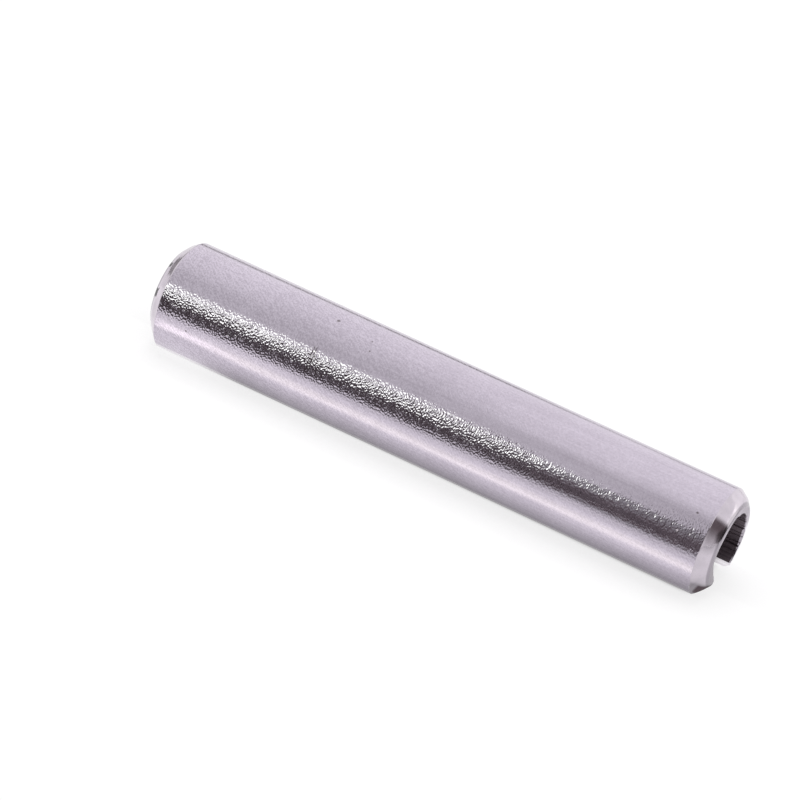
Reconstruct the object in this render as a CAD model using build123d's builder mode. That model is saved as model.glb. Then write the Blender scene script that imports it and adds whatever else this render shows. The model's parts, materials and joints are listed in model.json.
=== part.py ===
# Spring roll pin, metric size 5 x 30 in spring steel strip: one strip rolled to an open C with bevelled ends.
from build123d import *
from math import asin, degrees
import os

os.makedirs("parts", exist_ok=True)

# --- Driving dimensions, in mm ---------------------------------------------------------------------------
free_diameter = 5.5  # across the relaxed pin, a little over the 5 mm hole it is driven into
wall = 1.0  # strip thickness
length = 30.0  # over the two end faces
lead_length = 0.65  # bevel turned on each end to lead the pin into its hole, along the axis
lead_depth = 0.6  # the same bevel, across the axis
gap_at_bore = 1.7  # slot width between the inner corners of the two lips
gap_at_skin = 3.3  # slot width between the outer corners, before they are rounded
lip_round = 0.35  # rounding of each lip's outer corner
lip_edge_break = 0.08  # slight dulling of each lip's inner corner
crease_depth = 0.07  # forming creases that the rolling leaves along the bore, on the +Y flank
crease_count = 7
crease_from = -38.0  # angle of the first crease, counted up from the +Y side of the pin
crease_span = 92.0  # angle between the first crease and the last
fine_crease_depth = 0.05  # the shallower creases between them, at a closer pitch
fine_crease_count = 6
fine_crease_from = -31.5
fine_crease_span = 74.0

# --- Sizes that follow from them -------------------------------------------------------------------------
outer_radius = free_diameter / 2
bore_radius = outer_radius - wall
skin_angle = degrees(asin(gap_at_skin / 2 / outer_radius))
bore_angle = degrees(asin(gap_at_bore / 2 / bore_radius))

with BuildPart() as spring_pin:
    # The rolled section, seen along the pin's axis: local x is +Y, local y is +Z, the slot opens straight down.
    with BuildSketch(Plane.YZ) as section:
        with BuildLine():
            skin = CenterArc((0, 0), outer_radius, skin_angle - 90, 360 - 2 * skin_angle)
            bore = CenterArc((0, 0), bore_radius, bore_angle - 90, 360 - 2 * bore_angle)
            Line(skin @ 0, bore @ 0)
            Line(skin @ 1, bore @ 1)
        make_face()
        lip_corners = section.vertices().sort_by(SortBy.DISTANCE)
        fillet(lip_corners[2:], radius=lip_round)
        fillet(lip_corners[:2], radius=lip_edge_break)
        # Creases: small three-sided cuts centred on the bore's wall, each with one point outward.
        with PolarLocations(bore_radius, crease_count, crease_from, crease_span, endpoint=True):
            RegularPolygon(crease_depth, 3, mode=Mode.SUBTRACT)
        with PolarLocations(bore_radius, fine_crease_count, fine_crease_from, fine_crease_span, endpoint=True):
            RegularPolygon(fine_crease_depth, 3, mode=Mode.SUBTRACT)
    extrude(amount=length / 2, both=True)

    # The turned lead: a ring of right-triangle section, its long side cutting across each outer end corner.
    with BuildSketch(Plane.XZ):
        with Locations((length / 2, outer_radius)):
            Polygon(
                (-2 * lead_length, lead_depth),
                (lead_length, lead_depth),
                (lead_length, -2 * lead_depth),
                align=None,
            )
        mirror(about=Plane.YZ)
    revolve(axis=Axis.X, mode=Mode.SUBTRACT)

spring_pin.part.label = "spring_pin"
export_step(spring_pin.part, "parts/spring_pin.step")
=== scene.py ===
# %% [markdown]
# # Finishing a slotted spring pin
# The pin is one strip of spring steel, rolled until it is nearly a tube. It springs in across its slot
# when it is driven into a hole a little too small for it. This lesson models the rolled strip with its
# shaped lips, its turned ends and its creased bore, gives each surface the finish that its making leaves,
# and lights it on a pale floor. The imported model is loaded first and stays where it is: every new piece
# is made in its frame, in metres.

# %% Load the frame
import json
import math

import bmesh
import bpy
from mathutils import Matrix, Vector, noise


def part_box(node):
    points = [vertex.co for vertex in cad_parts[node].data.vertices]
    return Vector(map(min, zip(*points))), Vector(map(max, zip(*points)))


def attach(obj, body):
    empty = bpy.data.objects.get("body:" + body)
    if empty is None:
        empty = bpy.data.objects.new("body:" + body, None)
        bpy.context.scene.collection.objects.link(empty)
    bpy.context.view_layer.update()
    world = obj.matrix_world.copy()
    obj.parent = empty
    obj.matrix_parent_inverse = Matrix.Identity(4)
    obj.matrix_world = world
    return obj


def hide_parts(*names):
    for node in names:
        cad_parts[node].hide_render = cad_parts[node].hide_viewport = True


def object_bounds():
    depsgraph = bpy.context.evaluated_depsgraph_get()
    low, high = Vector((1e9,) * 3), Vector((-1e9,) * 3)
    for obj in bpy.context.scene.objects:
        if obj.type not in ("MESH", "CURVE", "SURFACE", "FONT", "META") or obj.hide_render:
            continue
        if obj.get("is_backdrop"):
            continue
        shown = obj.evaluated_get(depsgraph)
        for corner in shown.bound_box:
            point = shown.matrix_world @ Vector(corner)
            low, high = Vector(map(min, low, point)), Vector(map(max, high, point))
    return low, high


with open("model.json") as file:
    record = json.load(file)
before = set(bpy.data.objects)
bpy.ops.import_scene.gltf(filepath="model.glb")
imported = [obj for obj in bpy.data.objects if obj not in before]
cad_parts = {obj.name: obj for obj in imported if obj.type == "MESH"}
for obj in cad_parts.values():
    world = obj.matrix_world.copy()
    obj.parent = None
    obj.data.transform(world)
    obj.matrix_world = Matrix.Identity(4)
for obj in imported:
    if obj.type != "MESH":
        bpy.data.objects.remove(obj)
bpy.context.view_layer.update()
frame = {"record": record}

# %% [markdown]
# ## The sizes
# A modeller at a bench would measure the pin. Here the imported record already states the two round
# surfaces that other parts meet, the skin and the bore, so their radii and lengths come from there. What
# the skin's length leaves of the pin's is shared by the two leads, the bevels at the ends. Work is in
# millimetres and is scaled to metres at the end, because the breaks and creases are hundredths of a
# millimetre and the mesh operators compare distances.

# %% Read the sizes
MM = 0.001
TOLERANCE = 1e-5
mounts = {mount["name"]: mount["dims"] for mount in frame["record"]["mounts"]}
low, high = (Vector(corner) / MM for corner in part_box("spring_pin"))
half_length = (high.x - low.x) / 2
skin_radius = mounts["outside"]["r_mm"]
bore_radius = mounts["bore"]["r_mm"]
lead_length = half_length - mounts["outside"]["length_mm"] / 2
lead_depth = 0.6
gap_at_bore = 1.7
gap_at_skin = 3.3
lip_round = 0.35
print("length", round(2 * half_length, 2), "skin radius", skin_radius, "bore radius", bore_radius)

# %% [markdown]
# ## Rolling the strip
# The real pin starts as flat strip and is bent round a mandrel. Bending a mesh strip would stretch its
# corners, so the wall's long section is drawn once instead and spun about the pin's axis, as a lathe
# would see it. The leads at the ends are part of that section, and its corners are dulled before the
# spin, while each is one vertex. The spin stops short of a full turn, which leaves the slot.

# %% Draw the wall's long section
EDGE_BREAK = 0.03
RING_BREAK = 0.06
BORE_BREAK = 0.06
BORE_CUTS = 30
LEAD_CUTS = 7

ring_radius = skin_radius - lead_depth
wall_corners = [
    (-half_length, bore_radius),
    (-half_length, ring_radius),
    (lead_length - half_length, skin_radius),
    (half_length - lead_length, skin_radius),
    (half_length, ring_radius),
    (half_length, bore_radius),
]
pin = bmesh.new()
pin.faces.new([pin.verts.new((x, 0, z)) for x, z in wall_corners])
for radius, size in ((skin_radius, EDGE_BREAK), (ring_radius, RING_BREAK), (bore_radius, BORE_BREAK)):
    corners = [vertex for vertex in pin.verts if abs(vertex.co.z - radius) < TOLERANCE]
    bmesh.ops.bevel(
        pin, geom=corners, offset=size, offset_type="OFFSET", segments=3, profile=0.5,
        affect="VERTICES", material=-1, clamp_overlap=True,
    )
bmesh.ops.delete(pin, geom=pin.faces[:], context="FACES_ONLY")
long_edges = [edge for edge in pin.edges if edge.calc_length() > half_length]
bore_line = min(long_edges, key=lambda edge: edge.verts[0].co.z)
lead_lines = [edge for edge in pin.edges if lead_length / 2 < edge.calc_length() < 2 * lead_length
              and abs(edge.verts[0].co.x - edge.verts[1].co.x) > lead_length / 2]
bmesh.ops.subdivide_edges(pin, edges=[bore_line], cuts=BORE_CUTS)
bmesh.ops.subdivide_edges(pin, edges=lead_lines, cuts=LEAD_CUTS)
print("section vertices:", len(pin.verts), "edges:", len(pin.edges))

# %% Spin the section into an open tube
SPIN_STEPS = 604

half_turn = math.pi - math.asin(gap_at_bore / 2 / bore_radius)
bmesh.ops.rotate(pin, cent=(0, 0, 0), matrix=Matrix.Rotation(-half_turn, 3, "X"), verts=pin.verts)
bmesh.ops.spin(
    pin, geom=pin.verts[:] + pin.edges[:], cent=(0, 0, 0), axis=(1, 0, 0), dvec=(0, 0, 0),
    angle=2 * half_turn, steps=SPIN_STEPS, use_merge=False, use_duplicate=False,
)
print("spun faces:", len(pin.faces))

# %% [markdown]
# ## Creasing the bore
# Rolling squeezes the strip's inner surface, and it gathers in fine creases along one flank. They could
# be painted on, but they also notch the rim where the bore meets the end face, so they are pressed into
# the mesh: each vertex of the bore moves outward by the depth of the crease it lies in. A crease wanders
# a little along the pin, its depth comes and goes, and it is deepest at the two ends, where nothing held
# the strip down.

# %% Press the creases
# The angle above +Y in degrees and the depth in millimetres of each crease.
CREASES = [(-38.0 + 92.0 / 6 * step, 0.07) for step in range(7)]
CREASES += [(-31.5 + 74.0 / 5 * step, 0.05) for step in range(6)]
CREASE_SLOPE = 0.053
WANDER, WANDER_PACE = 0.9, 0.22
SHALLOWEST, SWELL, SWELL_PACE, SWELL_ROW = 0.75, 0.9, 0.3, 7.0
END_REACH = 0.4
DEPTH_INSIDE = 0.45


def crease_depth(angle, x):
    """How far the creases push the bore outward at an angle above +Y, in millimetres."""
    deepest = 0.0
    for place, depth in CREASES:
        drift = WANDER * noise.noise(Vector((x * WANDER_PACE, place, 0.0)))
        depth = depth * (SHALLOWEST + SWELL * noise.noise(Vector((x * SWELL_PACE, place, SWELL_ROW))))
        deepest = max(deepest, depth - CREASE_SLOPE * abs(angle - place - drift))
    return deepest * (DEPTH_INSIDE if abs(x) < half_length - END_REACH else 1.0)


for vertex in pin.verts:
    radial = Vector((0, vertex.co.y, vertex.co.z))
    if radial.length < bore_radius + EDGE_BREAK:
        angle = math.degrees(math.atan2(vertex.co.z, vertex.co.y))
        vertex.co += radial.normalized() * crease_depth(angle, vertex.co.x)
print("creases:", len(CREASES))

# %% [markdown]
# ## Ends that are not quite true
# The leads were turned on a pin held by its skin, a little off the axis, so the flat ring left on each
# end narrows towards the slot. The tool also left each lead slightly crowned, more so on the upper far
# side. Then the pin was tumbled, and the bore's edge wore: outwards on the near side, and back along the
# pin on the far one, while a burr stands inwards beside the near lip. These could be cut with more
# planes, but they fade from one to the next, so all are moves of the vertices near each end, in
# proportion to where they lie.

# %% Shape the leads and wear the bore's edge
# How deep each change is, then the spans of height or width over which it sets in, in millimetres.
RING_LOSS = 0.10
CROWN, CROWN_AT, FAR_CROWN = 0.034, 0.62, 0.075
NEAR_WEAR, NEAR_ABOVE, NEAR_FADE = 0.13, (-0.4, 0.1), (0, 0.2)
LEAST_WEAR, LEAST_AT, WEAR_SLOPE = 0.4, 1.25, 1.3
LIP_BURR, BURR_BELOW, BURR_OUT = 0.17, (0.1, -0.7), (0.9, 1.3)
FAR_WEAR, FAR_BELOW, FAR_FADE, FAR_LEAST = 0.045, (0.3, 0.1), (-1, -0.4), 0.1


def ramp(value, start, end):
    """0 up to start, 1 from end, and straight between them. start may be the larger."""
    return min(max((value - start) / (end - start), 0), 1)


bore_edge = bore_radius + BORE_BREAK + 0.005
ring_edge = bore_radius + BORE_BREAK + 0.01
for vertex in pin.verts:
    share = (abs(vertex.co.x) - half_length + lead_length) / lead_length
    radial = Vector((0, vertex.co.y, vertex.co.z))
    outward = radial.normalized()
    if 0 < share < 1 and radial.length > ring_radius + RING_BREAK / 2:
        crown = CROWN + FAR_CROWN * ramp(radial.y, 0, 1) * ramp(radial.z, 0, 1)
        vertex.co += outward * crown * min(share / CROWN_AT, (1 - share) / (1 - CROWN_AT))
    if share > 0 and radial.length > ring_edge:
        vertex.co -= outward * share * RING_LOSS * (1 - outward.z)
    # 0 where the bore's broken edge starts, and 1 on the end face.
    edge_share = (abs(vertex.co.x) - half_length + BORE_BREAK) / BORE_BREAK
    if radial.length >= bore_edge or edge_share <= -0.01:
        continue
    if radial.y < 0:
        worn = min(1, LEAST_WEAR + abs(radial.z - LEAST_AT) * WEAR_SLOPE) * ramp(radial.z, *NEAR_ABOVE)
        vertex.co += outward * NEAR_WEAR * edge_share * worn * ramp(-radial.y, *NEAR_FADE)
        vertex.co -= outward * LIP_BURR * ramp(radial.z, *BURR_BELOW) * ramp(-radial.y, *BURR_OUT)
    else:
        worn = FAR_WEAR * ramp(radial.z, *FAR_BELOW) * max(ramp(radial.z, *FAR_FADE), FAR_LEAST)
        vertex.co += outward * worn * edge_share
        vertex.co.x -= math.copysign(worn * (1 - edge_share), vertex.co.x)
ring = ring_radius - bore_radius
print("ring at the top", round(ring, 2), "and opposite", round(ring - 2 * RING_LOSS, 2))

# %% [markdown]
# ## Shaping the lips
# The strip's two edges were sheared at a slant and tumbled, so each lip narrows towards the bore and is
# round outside. The spin left them square to the bore. A plane trims each to its slant, and a fan of
# planes then planes the corner off in narrow flats, as a file would round it. Each cut is closed with one
# flat face. The two lips were not sheared alike, and both close in by a tenth of a millimetre towards the
# right end.

# %% Trim and round each lip
FLATS = 9
LIPS = [  # the side, how much shorter it is at the bore, how much longer at the skin
    (-1, 0.12, 0.049),
    (1, 0.20, 0.0),
]
LIP_BESIDE, LIP_BELOW = 0.3, -1.0
PINCH, PINCH_FROM = 0.10, 2
PINCH_ROUND = (75, 35)  # degrees from straight down


def trim(side, point, normal):
    """Cuts away what lies beyond a plane on one lip, and closes the cut."""
    faces = [face for face in pin.faces if face.calc_center_median().y * side > LIP_BESIDE
             and face.calc_center_median().z < LIP_BELOW]
    edges = dict.fromkeys(edge for face in faces for edge in face.edges)
    verts = dict.fromkeys(vertex for face in faces for vertex in face.verts)
    bmesh.ops.bisect_plane(
        pin, geom=[*faces, *edges, *verts], dist=TOLERANCE / 10, plane_co=point, plane_no=normal,
        clear_outer=True, clear_inner=False,
    )
    rim = [edge for edge in pin.edges if edge.is_boundary
           and all(abs((vertex.co - point).dot(normal)) < TOLERANCE for vertex in edge.verts)]
    bmesh.ops.contextual_create(pin, geom=rim)


def corner(radius, half_gap, side):
    """The point of a circle about the axis that lies this far to one side of the slot's middle."""
    return Vector((0, side * half_gap, -math.sqrt(radius**2 - half_gap**2)))


for side, shorter, longer in LIPS:
    inner = corner(bore_radius, gap_at_bore / 2 + shorter, side)
    outer = corner(skin_radius, gap_at_skin / 2 - longer, side)
    slant = (outer - inner).normalized()
    into_gap = Vector((0, slant.z * side, -slant.y * side))
    trim(side, inner, into_gap)
    # The rounding's centre: its radius away from the lip's face, and from the skin, both towards the metal.
    foot = outer - into_gap * lip_round
    along = foot.dot(slant)
    reach = math.sqrt(along**2 - foot.length_squared + (skin_radius - lip_round) ** 2)
    centre = foot - slant * (along - reach)
    to_skin = centre.normalized()
    for flat in range(1, FLATS + 1):
        facing = into_gap.slerp(to_skin, flat / (FLATS + 1))
        trim(side, centre + facing * lip_round, facing)
for vertex in pin.verts:
    x, y, z = vertex.co
    below = math.degrees(math.atan2(abs(y), -z))
    pinch = ramp(x, PINCH_FROM, half_length) * ramp(below, *PINCH_ROUND) * PINCH
    vertex.co -= Vector((0, y, z)).normalized() * pinch
print("faces:", len(pin.faces), "open edges:", sum(edge.is_boundary for edge in pin.edges))

# %% [markdown]
# ## Naming the surfaces
# Each surface was made in its own way, so each gets its own finish. Selecting them by hand would be slow
# and would break with the next change of a size. A face's direction and its distance from the axis tell
# which surface it belongs to.

# %% Name each face's surface
SURFACES = ("skin", "lead", "end", "bore", "lip")
END_FACING, LEAD_FACING = 0.94, 0.2
BORE_FACING, SKIN_FACING = -0.3, 0.9
BORE_CLEARS = 0.075


def surface_of(face):
    """Which of the pin's surfaces a face belongs to, by where it is and how it faces."""
    centre = face.calc_center_median()
    radial = Vector((0, centre.y, centre.z))
    outward = face.normal.dot(radial.normalized())
    if abs(face.normal.x) > END_FACING:
        return "end"
    if abs(face.normal.x) > LEAD_FACING:
        return "lead"
    in_bore = radial.length < bore_radius + BORE_CLEARS and abs(centre.x) < half_length - EDGE_BREAK
    if outward < BORE_FACING or in_bore:
        return "bore"
    if outward > SKIN_FACING and radial.length > skin_radius - EDGE_BREAK:
        return "skin"
    return "lip"


bmesh.ops.recalc_face_normals(pin, faces=pin.faces)
for face in pin.faces:
    face.material_index = SURFACES.index(surface_of(face))
    face.smooth = True
for index, name in enumerate(SURFACES):
    print(name, sum(face.material_index == index for face in pin.faces))

# %% [markdown]
# ## Taking the solid's place
# The imported solid is the same pin, only plainer, so one of the two has to go. Dressing the solid itself
# would change the imported model, so the finished mesh takes its place and moves with the same body. It
# is scaled to metres about the origin. Edges sharper than the skin's facets and the lips' flats stay
# crisp.

# %% Put the pin in the scene
SHARP_FROM = 12


def settled(name, shape):
    """Turns a finished bmesh into an object of the scene, at the origin."""
    mesh = bpy.data.meshes.new(name)
    shape.to_mesh(mesh)
    shape.free()
    made = bpy.data.objects.new(name, mesh)
    bpy.context.scene.collection.objects.link(made)
    return made


bmesh.ops.scale(pin, vec=(MM, MM, MM), verts=pin.verts)
rolled_pin = settled("rolled_pin", pin)
rolled_pin.data.set_sharp_from_angle(angle=math.radians(SHARP_FROM))
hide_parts("spring_pin")
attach(rolled_pin, "root")
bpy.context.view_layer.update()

# %% [markdown]
# ## Writing shaders as sums
# A finish is a handful of masks and patterns added together. Wiring Math nodes by hand hides that, so a
# small class lets a socket be used in ordinary Python sums, and one method makes any other node from its
# type, its settings and its sockets.

# %% A socket that can be added and multiplied
class Signal:
    """One output of a node. Sums with it add Math nodes to the same tree."""

    def __init__(self, recipe, socket):
        self.recipe = recipe
        self.socket = socket

    def sum(self, operation, *terms):
        return self.recipe.node("ShaderNodeMath", {"operation": operation}, dict(enumerate(terms)))

    def __add__(self, other):
        return self.sum("ADD", self, other)

    def __sub__(self, other):
        return self.sum("SUBTRACT", self, other)

    def __rsub__(self, other):
        return self.sum("SUBTRACT", other, self)

    def __mul__(self, other):
        return self.sum("MULTIPLY", self, other)

    def __abs__(self):
        return self.sum("ABSOLUTE", self)

    __radd__ = __add__
    __rmul__ = __mul__

    def between(self, start, end):
        """0 up to start, 1 from end, with a soft step between them. start may be the larger."""
        limits = {"Value": self, "From Min": start, "From Max": end}
        return self.recipe.node("ShaderNodeMapRange", {"interpolation_type": "SMOOTHSTEP"}, limits)

    def band(self, rise, fall):
        """1 in a band that opens over the rise and closes over the fall, and 0 outside it."""
        return self.between(*rise) * self.between(*fall)


# %% The tree that the sockets belong to
class Recipe:
    """The node tree of a material or of the world."""

    def __init__(self, owner):
        owner.use_nodes = True
        self.tree = owner.node_tree
        self.tree.nodes.clear()

    def node(self, kind, settings=None, sockets=None, output=0):
        made = self.tree.nodes.new(kind)
        for name, value in (settings or {}).items():
            if name == "stops":
                self.set_stops(made.color_ramp.elements, value)
            else:
                setattr(made, name, value)
        for name, value in (sockets or {}).items():
            if isinstance(value, Signal):
                self.tree.links.new(value.socket, made.inputs[name])
            else:
                made.inputs[name].default_value = value
        return Signal(self, made.outputs[output]) if made.outputs else None

    def set_stops(self, elements, stops):
        while len(elements) < len(stops):
            elements.new(1.0)
        for element, (place, colour) in zip(elements, stops):
            element.position = place
            element.color = colour

    def axes(self, place, count=3):
        """The first coordinates of a place, each as a signal."""
        sockets = {"Vector": place}
        return [self.node("ShaderNodeSeparateXYZ", None, sockets, output=axis) for axis in range(count)]

    def blend(self, factor, first, second):
        return self.node("ShaderNodeMix", {"data_type": "RGBA"}, {0: factor, 6: first, 7: second}, output=2)

    def layer(self, ground, layers):
        """Lays colours over a ground one after another, each through its own mask."""
        for mask, colour in layers:
            ground = self.blend(mask, ground, colour)
        return ground

    def noise(self, place, scale, detail=2.0, roughness=0.5):
        sockets = {"Vector": place, "Scale": scale, "Detail": detail, "Roughness": roughness}
        return self.node("ShaderNodeTexNoise", None, sockets)


# %% [markdown]
# ## The steel's finish
# Everything is placed by the pin's own coordinates in millimetres, and by the angle round its axis,
# counted in degrees from the top down the side that faces -Y. An unwrapped texture would need seams on a
# closed tube. The skin's surface is unrolled by that angle instead, so a pattern keeps its size all the
# way round. Patterns are heights in micrometres, so the bump is to scale.

# %% Shared coordinates and the steel itself
MICRON = 1e-6


def steel(name):
    """Starts a material: its recipe, the place in millimetres, the place unrolled, x and the angle."""
    material = bpy.data.materials.new(name)
    recipe = Recipe(material)
    place = recipe.node("ShaderNodeTexCoord", output=3)
    place = recipe.node("ShaderNodeMapping", None, {"Vector": place, "Scale": (1 / MM, 1 / MM, 1 / MM)})
    x, y, z = recipe.axes(place)
    turn = z.sum("ARCTAN2", y * -1.0, z)
    unrolled = recipe.node("ShaderNodeCombineXYZ", None, {"X": x, "Y": turn * skin_radius})
    return material, recipe, place, unrolled, x, turn * math.degrees(1)


def grained(recipe, place, length, width, slant, detail=2.0, roughness=0.5):
    """Noise whose grains have this length and width in millimetres, turned from the axis by the slant."""
    turned = {"Vector": place, "Rotation": (0, 0, math.radians(slant)), "Scale": (length, width, width)}
    grains = recipe.node("ShaderNodeMapping", {"vector_type": "TEXTURE"}, turned)
    return recipe.noise(grains, 1.0, detail, roughness)


def finish(material, recipe, colour, roughness, height):
    """Closes a material: metal of this colour and roughness, with a surface height in micrometres."""
    bump = recipe.node("ShaderNodeBump", None, {"Height": height, "Distance": MICRON, "Strength": 1.0})
    metal = recipe.node(
        "ShaderNodeBsdfPrincipled", None,
        {"Base Color": colour, "Roughness": roughness, "Metallic": 1.0, "Normal": bump},
    )
    recipe.node("ShaderNodeOutputMaterial", None, {"Surface": metal})
    print(material.name, "has", len(recipe.tree.nodes), "nodes")
    return material


# %% [markdown]
# ## The drawn skin
# The strip was drawn, rolled and then tumbled with others. Drawing left faint lines along it, and its
# steel has a fine grain that shows most at the left. Tumbling peened a band along the flank to an orange
# peel, whose dimples catch the light one by one, and towards the right end rubbing has flattened it to
# soft mottles. A few pits and a double scratch across the band are single marks, and so are a few painted
# glints: white spots with a rough finish, each a painted highlight where a dimple would catch the light.
# Each of these is placed one by one. All this could be painted on a picture, but noise and masks stay
# sharp from any distance.

# %% The skin
PITS = [  # millimetres along the pin, degrees from the top, radius in millimetres
    (-6.1, 11.9, 0.10), (-4.1, 18.7, 0.05), (-3.92, 30.3, 0.05), (-12.65, 90.5, 0.04), (13.53, 40.2, 0.06),
]
# Painted glints: white, rough spots that stand in for highlights on single dimples.
GLINT_SPOTS = [  # the same
    (13.03, 63.2, 0.055), (10.48, 61.4, 0.05), (13.65, 61.7, 0.03), (9.44, 59.4, 0.035), (9.27, 63.1, 0.03),
]
PEENED = (44.0, 59.0), (86.0, 75.0)
PEEN_SINKS, PEEN_SINKS_BY = (-5.0, -9.0), 4.0
RUBBED, RUBBED_AWAY = (2.5, 8.0), 0.80
MOTTLED = (50.0, 58.0), (84.0, 76.0)
SCRATCHED, SCRATCH_AT, SCRATCH_APART = ((47.0, 51.0), (80.0, 72.0)), -6.28, 0.06
GRAIN, GRAIN_FADES, GRAIN_LOSS = 2.0, (-12.0, 8.0), 1.6
PEBBLE, REST, MOTTLE, LAY, LINE, PIT, SCRATCH = 24.0, 2.0, 14.0, 3.0, 1.2, 5.0, 6.0  # micrometres


def away_from(recipe, unrolled, along, around):
    """How far a point of the skin lies from a mark, in millimetres over the surface."""
    mark = (along, math.radians(around) * skin_radius, 0)
    return recipe.node("ShaderNodeVectorMath", {"operation": "DISTANCE"}, {0: unrolled, 1: mark}, output=1)


material, recipe, place, unrolled, x, angle = steel("drawn_skin")
pebbles = grained(recipe, unrolled, 0.070, 0.10, 0.0, 0.0, 0.5)
lay = grained(recipe, unrolled, 0.50, 0.08, 38.0, 1.0)
lines = grained(recipe, unrolled, 9.0, 0.12, 0.0, 2.0, 0.6)
patches = recipe.noise(place, 0.5, 2.0)
grit = recipe.noise(place, 7.0, 2.0, 0.7)
sunk = angle - x.between(*PEEN_SINKS) * PEEN_SINKS_BY
peened = angle.between(*PEENED[0]) * sunk.between(*PEENED[1])
rubbed = x.between(*RUBBED)
mottles = recipe.noise(unrolled, 4.0, 2.0) * rubbed * angle.band(*MOTTLED)
pits = sum(
    (away_from(recipe, unrolled, along, around) + grit * 0.05).between(size + 0.05, size * 0.5 + 0.02)
    for along, around, size in PITS
)
# The glint spots are painted highlights.
painted_glints = sum(
    away_from(recipe, unrolled, along, around).between(size + 0.02, size - 0.02)
    for along, around, size in GLINT_SPOTS
)
scratch = abs(abs(x - SCRATCH_AT) - SCRATCH_APART).between(0.05, 0.01) * angle.band(*SCRATCHED)
height = pebbles * (peened * (1.0 - rubbed * RUBBED_AWAY) * PEBBLE + REST) + mottles * MOTTLE
height = height + lay * LAY + lines * LINE - pits * PIT - scratch * SCRATCH
marks = grit.between(0.25, 0.75) * 0.45 + lines.between(0.25, 0.75) * 0.35 + patches.between(0.3, 0.7) * 0.2
marks = marks + (pebbles + lay - 1.0) * (GRAIN - x.between(*GRAIN_FADES) * GRAIN_LOSS)
tone = recipe.blend(marks, (0.57, 0.515, 0.60, 1), (0.75, 0.685, 0.79, 1))
tone = recipe.layer(tone, [
    (pits * 0.8 + scratch * 0.6, (0.20, 0.17, 0.18, 1)),
    (painted_glints, (1, 0.92, 1, 1)),
])
dull = patches.between(0.3, 0.7) * 0.04 + 0.14 - peened * 0.07 + painted_glints * 0.5
skin = finish(material, recipe, tone, dull, height)

# %% [markdown]
# ## The turned leads
# A tool turned the leads last, so they are the brightest surface, with fine rings round the axis. Cutting
# the rings into the mesh would take thousands of faces, and noise of x alone gives the same gleam. The
# tool left the rim beside the flat ring darker, and two burrs on the left end are painted near black.
# Masks on the angle and on x place the burrs, and noise makes them ragged.

# %% The leads
BURRS = [((28.0, 29.0), (35.0, 34.0)), ((64.0, 65.5), (75.5, 74.0))]
BURR_EDGE = (-14.76, -14.82)
DARK_RIM = (14.85, 14.91)

material, recipe, place, unrolled, x, angle = steel("turned_lead")
turning = recipe.noise(recipe.node("ShaderNodeCombineXYZ", None, {"X": x}), 14.0, 2.0, 0.6)
patches = recipe.noise(place, 1.2, 3.0)
ragged = recipe.noise(place, 6.0, 3.0, 0.7) * 9.0 - 3.0
chipped = (x - ragged * 0.02).between(*BURR_EDGE)
burrs = sum((angle + ragged).band(rise, fall) * chipped for rise, fall in BURRS)
tone = recipe.blend(patches.between(0.35, 0.7), (0.72, 0.66, 0.73, 1), (0.62, 0.57, 0.63, 1))
tone = recipe.layer(tone, [
    (abs(x).between(*DARK_RIM), (0.42, 0.385, 0.43, 1)),
    # The two burrs are painted near black.
    (burrs, (0.05, 0.045, 0.05, 1)),
])
lead = finish(material, recipe, tone, 0.11, turning * 0.5 + recipe.noise(place, 5.0, 3.0) * 1.2)

# %% [markdown]
# ## The end faces
# The end rings were faced rough and left matt. Low on the near side they are painted darker, a painted
# shade as if they mirrored the shadowed floor there, and on the far side they are painted bright, a
# painted highlight. Two masks on the angle keep that in one material, where splitting the ring into faces
# would leave hard borders.

# %% The end faces
SHADE_PAINTED_SIDE, HIGHLIGHT_PAINTED_SIDE = (45.0, 80.0), (-60.0, -85.0)

material, recipe, place, unrolled, x, angle = steel("faced_end")
patches = recipe.noise(place, 2.5, 3.0)
tone = recipe.blend(patches.between(0.3, 0.7), (0.56, 0.51, 0.57, 1), (0.44, 0.40, 0.45, 1))
tone = recipe.layer(tone, [
    # Painted shade low on the near side, and a painted highlight on the far side.
    (angle.between(*SHADE_PAINTED_SIDE) * 0.7, (0.26, 0.235, 0.26, 1)),
    (angle.between(*HIGHLIGHT_PAINTED_SIDE), (0.95, 0.93, 0.97, 1)),
])
end = finish(material, recipe, tone, 0.36, recipe.noise(place, 12.0, 3.0) * 3.0)

# %% [markdown]
# ## The bore
# Nothing reaches into the bore after the heat treatment, so it keeps its dark scale, drawn out in streaks
# along the pin. Its tone is also darkened further as painted shade, for the dark inside of the tube. The
# same stretched noise gives the streaks their tone and their height, as the scale's dark places are also
# its low ones.

# %% The bore
material, recipe, place, unrolled, x, angle = steel("scaled_and_shaded_bore")
streaks = grained(recipe, unrolled, 8.0, 0.3, 0.0, 4.0, 0.65)
# The dark tone is partly the bore's scale and partly painted shade.
tone = recipe.blend(streaks.between(0.35, 0.75), (0.19, 0.155, 0.18, 1), (0.32, 0.27, 0.30, 1))
bore = finish(material, recipe, tone, 0.5, streaks * 12.0)

# %% [markdown]
# ## The lips
# Shearing leaves a pale, torn face, grained along the strip. It takes no more than a pale tone and short
# streaks. They are laid by the plain coordinates, because unrolling would squeeze them on a face that
# points across the slot.

# %% The lips
material, recipe, place, unrolled, x, angle = steel("sheared_lip")
streaks = grained(recipe, place, 5.0, 0.25, 0.0, 3.0, 0.6)
tone = recipe.blend(streaks.between(0.3, 0.7), (0.97, 0.94, 0.98, 1), (0.85, 0.81, 0.86, 1))
lip = finish(material, recipe, tone, 0.36, streaks * 5.0)

for material in (skin, lead, end, bore, lip):
    rolled_pin.data.materials.append(material)
print("materials:", [material.name for material in rolled_pin.data.materials])

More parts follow.
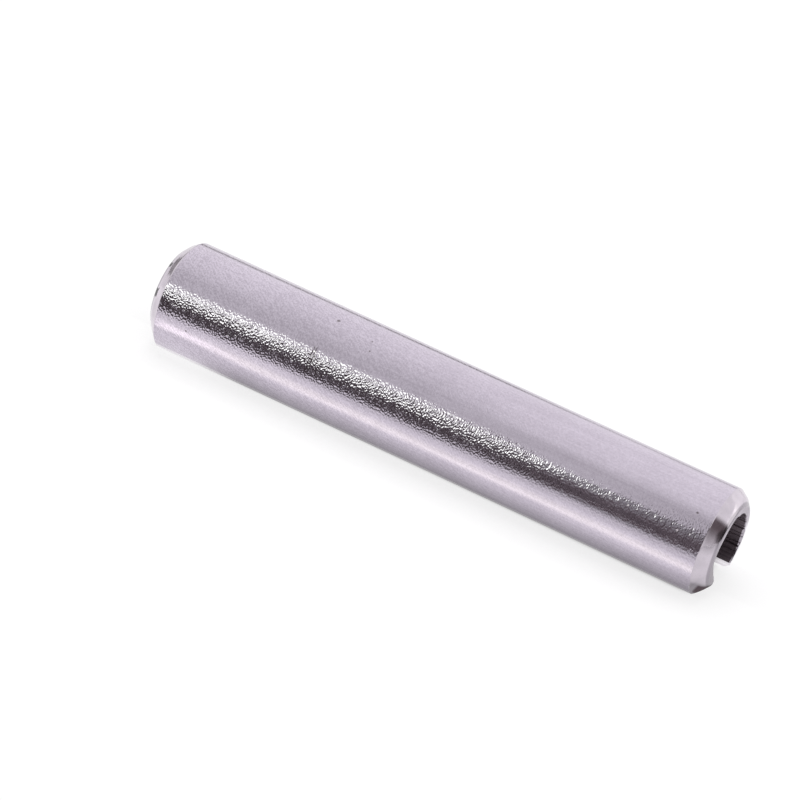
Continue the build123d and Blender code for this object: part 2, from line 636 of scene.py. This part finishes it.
# %% [markdown]
# ## The pale floor
# Polished metal shows its surroundings more than itself, so the studio matters as much as the steel. The
# floor is a disc of white paper. Strong lamps could whiten it, but they would also burn out the pin, so
# it glows a little instead. Under the pin its glow is dimmed to a painted shadow, so that the slot
# doesn't look lit from below.

# %% The floor
FLOOR_RADIUS = 0.6
FLOOR_GLOW = 0.72


def plan(recipe):
    """The x and y of a flat sheet's points, in millimetres."""
    place = recipe.node("ShaderNodeTexCoord", output=3)
    return [axis * (1 / MM) for axis in recipe.axes(place, 2)]


disc = bmesh.new()
bmesh.ops.create_circle(disc, cap_ends=True, segments=96, radius=FLOOR_RADIUS)
bmesh.ops.translate(disc, vec=(0, 0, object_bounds()[0][2]), verts=disc.verts)
floor = settled("floor", disc)
paper = bpy.data.materials.new("pale_floor")
recipe = Recipe(paper)
x, y = plan(recipe)
# A painted shadow: the floor's glow drops to a tenth under the pin.
painted_shadow_beneath = abs(y).between(1.9, 1.3) * abs(x).between(half_length - 0.5, half_length - 1.5)
glow = recipe.blend(painted_shadow_beneath, (1, 1, 1, 1), (0.1, 0.1, 0.1, 1))
matt = recipe.node("ShaderNodeBsdfPrincipled", None, {
    "Base Color": (0.30, 0.297, 0.303, 1), "Roughness": 0.8,
    "Emission Color": glow, "Emission Strength": FLOOR_GLOW,
})
recipe.node("ShaderNodeOutputMaterial", None, {"Surface": matt})
floor.data.materials.append(paper)
floor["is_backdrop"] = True
print("floor at", round(floor.data.vertices[0].co.z / MM, 3), "mm")

# %% [markdown]
# ## A card for the reflections
# The lower half of the pin reflects what lies on the table: a pale strip a few millimetres wide, which
# dims to black further out. A photographer lays cards there. Here two sheets just over the floor, one in
# front and one behind, do the same, and only reflections see them.

# %% Lay the card
CARD = [  # millimetres in front of the axis, brightness
    (0.4, 0.34), (1.95, 0.38), (2.1, 0.45), (2.4, 0.53), (2.6, 0.59), (2.9, 0.69), (3.3, 0.78),
    (3.8, 0.89), (4.3, 1.35), (5.1, 1.13), (6.4, 0.94), (8.4, 0.78), (10.5, 0.54), (12.5, 0.32),
    (15.0, 0.10), (18.0, 0.05), (80.0, 0.05),
]
CARD_RIGHT = [  # millimetres along the pin from its middle, brightness
    (15.0, 0.62), (15.4, 0.72), (16.0, 0.80), (17.0, 0.86), (18.5, 0.90), (24.0, 0.90), (29.0, 0.84),
    (43.0, 0.74), (75.0, 0.60), (200.0, 0.40),
]
LEFT_END, FAR_END, BEHIND = -250.0, -400.0, 2.4
OVER_FLOOR = 0.02

near, right_end = CARD[0][0], CARD_RIGHT[-1][0]
sheets = bmesh.new()
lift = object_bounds()[0][2] + OVER_FLOOR * MM
for start, end in ((-near, FAR_END), (BEHIND, -FAR_END)):
    outline = [(LEFT_END, start), (LEFT_END, end), (right_end, end), (right_end, start)]
    sheets.faces.new([sheets.verts.new((across * MM, out * MM, lift)) for across, out in outline])
card = settled("card", sheets)
card.visible_camera = card.visible_diffuse = card.visible_shadow = False
print("card from", LEFT_END, "to", right_end, "mm along the pin, and out to", -FAR_END)

# %% [markdown]
# ## Painting the card
# The card's brightness is a ramp over the distance from the pin's axis. A spot of the pin mirrors a place
# that lies further left the further out it is, so the masks lean with the distance. The left is
# brightened by the window, the right half dims later, and past the right end, which only the right lead
# reflects, a second ramp runs along the pin. A painted picture could do the same, but each step of a ramp
# can be moved alone.

# %% Paint the card
CARD_FAR = [  # the same as CARD, for the right half from 8 millimetres out
    (8.0, 0.82), (9.4, 0.74), (11.6, 0.57), (16.3, 0.36), (23.6, 0.26), (47.0, 0.17), (80.0, 0.13),
    (400.0, 0.10),
]
CARD_LEAN = 0.27
CARD_NARROWS = 0.0048
DIM, DIM_TINT = 0.2, (1, 0.82, 0.86)
BRIGHT, BRIGHT_TINT = 1.0, (1, 0.99, 0.94)
PALE_TINT = (1, 0.99, 1)


def tinted(glow):
    """A light of this brightness, near grey, which is redder where it is dim."""
    tint = DIM_TINT if glow < DIM else BRIGHT_TINT if glow > BRIGHT else PALE_TINT
    return (*(glow * share for share in tint), 1)


def graded(recipe, signal, grades):
    """A colour ramp over the distances of a list of grades."""
    first, last = grades[0][0], grades[-1][0]
    stops = [((distance - first) / (last - first), tinted(glow)) for distance, glow in grades]
    place = (signal - first) * (1 / (last - first))
    return recipe.node("ShaderNodeValToRGB", {"stops": stops}, {"Fac": place})


paint = bpy.data.materials.new("graded_card")
recipe = Recipe(paint)
x, y = plan(recipe)
out = y * -1.0
along = x + out * CARD_LEAN
left = along.between(-9.0, -12.5)
past_left_end = x.between(-half_length - 0.2, -half_length - 0.6)
at_right_rim = x.band((14.4, 14.55), (15.1, 14.95))
grade = recipe.layer(graded(recipe, out * (1.0 - along * CARD_NARROWS), CARD), [
    (along.between(2.0, 10.0) * out.between(7.5, 9.0), graded(recipe, out, CARD_FAR)),
    (left * out.band((3.6, 4.4), (5.3, 4.8)) * 0.6, (1.65, 1.6, 1.6, 1)),
    (left * out.between(4.2, 3.4), tinted(0.85)),
    (x.between(half_length, half_length + 0.3), graded(recipe, x, CARD_RIGHT)),
    (out.between(1.82, 1.6) * at_right_rim, tinted(0.12)),
    (left * past_left_end * out.between(6.0, 4.0), tinted(0.95)),
    (y.between(0.0, 1.0), tinted(0.93)),
])
light = recipe.node("ShaderNodeBsdfPrincipled", None, {
    "Base Color": (0, 0, 0, 1), "Specular IOR Level": 0.0,
    "Emission Color": grade, "Emission Strength": 1.0,
})
recipe.node("ShaderNodeOutputMaterial", None, {"Surface": light})
card.data.materials.append(paint)
card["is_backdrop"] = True
print("card nodes:", len(recipe.tree.nodes))

# %% [markdown]
# ## The room
# The upper half of the pin reflects the room. It is dark over the front horizon, which draws the black
# band along the flank, grows pale overhead and is white behind. One ramp over the angle above the front
# horizon gives that, where a modelled room would take walls and lamps. The rest are single things, each a
# mask on the direction: a window on the left with its sill, whose light the dimples of the skin throw
# back, a haze over it, a dark skirting behind, which edges the pin's far side, a shaded corner in front,
# and to the right, where only the right end sees them, a pale wall, a doorway, a side light and the
# table's edge.

# %% The room
ROOM = [  # degrees over the front horizon, brightness
    (0, 0.06), (8, 0.045), (13, 0.07), (16, 0.12), (20, 0.20), (25, 0.30), (31, 0.28), (34, 0.33),
    (38, 0.59), (42, 0.63), (60, 0.62), (75, 0.68), (96, 0.78), (115, 0.88), (140, 0.93), (166, 1.0),
    (180, 1.0),
]
DOOR_LEAN = 0.77
BACKDROP = (0.98, 0.98, 0.98, 1)

world = bpy.data.worlds.new("soft_room")
bpy.context.scene.world = world
recipe = Recipe(world)
x, y, z = recipe.axes(recipe.node("ShaderNodeTexCoord", output=0))
rise = z.sum("ARCTAN2", z, y * -1.0) * math.degrees(1)
window = rise.band((22.0, 27.0), (42.0, 35.0)) * x.between(-0.232, -0.265)
sill = rise.between(26.0, 16.0) * x.between(-0.26, -0.235) * 0.07
haze = rise.band((62.0, 84.0), (140.0, 118.0)) * x.between(-0.249, -0.240) * 0.55
skirting = rise.between(171.5, 176.0) * x.between(-0.05, -0.15) * (0.85 - x.between(-0.27, -0.22) * 0.35)
shaded_corner = y.between(-0.38, -0.50) * x.band((-0.08, 0.06), (0.82, 0.72))
right_wall = x.between(0.45, 0.6)
lean = y + z * DOOR_LEAN
doorway = lean.band((-0.60, 0.25), (0.60, 0.40)) * x.between(0.72, 0.80)
threshold = doorway * y.between(-0.21, -0.05) * z.between(0.32, 0.24)
side_light = y.band((0.24, 0.34), (0.90, 0.60)) * z.band((0.10, 0.22), (0.38, 0.33)) * x.between(0.3, 0.4)
table_edge = z.between(0.12, 0.03) * y.between(0.35, 0.5) * x.between(0.5, 0.6)
room = recipe.layer(graded(recipe, rise, ROOM), [
    (window, (2.3, 2.52, 2.18, 1)),
    (sill, (1, 0.9, 0.95, 1)),
    (haze, tinted(1.0)),
    (skirting, tinted(0.08)),
    (shaded_corner, tinted(0.08)),
    (right_wall, tinted(0.92)),
    (doorway, tinted(0.13)),
    (threshold, tinted(0.05)),
    (side_light, (1.5, 1.5, 1.45, 1)),
    (table_edge, tinted(0.5)),
])
seen = recipe.node("ShaderNodeLightPath", output=0)
shown = recipe.blend(seen, room, BACKDROP)
glow = recipe.node("ShaderNodeBackground", None, {"Color": shown, "Strength": 1.0})
recipe.node("ShaderNodeOutputWorld", None, {"Surface": glow})
print("room nodes:", len(recipe.tree.nodes))

# %% [markdown]
# ## The light overhead
# One weak round lamp overhead lays the soft shadow under the pin. The room alone would leave the pin
# floating. The lamp is hidden from reflections, since the room already gives those.

# %% The lamp
lamp = bpy.data.lights.new("overhead", "AREA")
lamp.shape = "DISK"
lamp.size = 0.5
lamp.energy = 1.0
overhead = bpy.data.objects.new("overhead", lamp)
overhead.location = (-0.1, 0.1, 0.6)
overhead.rotation_euler = (Vector((0, 0, 0)) - overhead.location).to_track_quat("-Z", "Y").to_euler()
overhead.visible_glossy = False
bpy.context.scene.collection.objects.link(overhead)
print("lamp at", [round(value, 2) for value in overhead.location])

# %% [markdown]
# ## The camera
# The camera looks down at the pin from its front right with a long lens, so the near end is hardly larger
# than the far one. Leaning it to one side lets the pin cross the picture from upper left to lower right,
# without turning the pin itself off its axis.

# %% The camera
STAND = Vector((53.67, -156.62, 96.49)) * MM
AIM = Vector((-2.13, -0.624, 0.184)) * MM
LEAN = 14.69

lens = bpy.data.cameras.new("bench_camera")
lens.sensor_width = 36.0
lens.lens = 183.7
lens.clip_start = 0.001
camera = bpy.data.objects.new("bench_camera", lens)
back = (STAND - AIM).normalized()
level = Vector((0, 0, 1)).cross(back).normalized()
right = Matrix.Rotation(math.radians(LEAN), 3, back) @ level
turn = Matrix((right, back.cross(right), back)).transposed()
camera.matrix_world = Matrix.Translation(STAND) @ turn.to_4x4()
bpy.context.scene.collection.objects.link(camera)
bpy.context.scene.camera = camera
bpy.context.scene.view_settings.view_transform = "Standard"
print("camera:", [round(value, 4) for value in STAND], "lens", lens.lens)
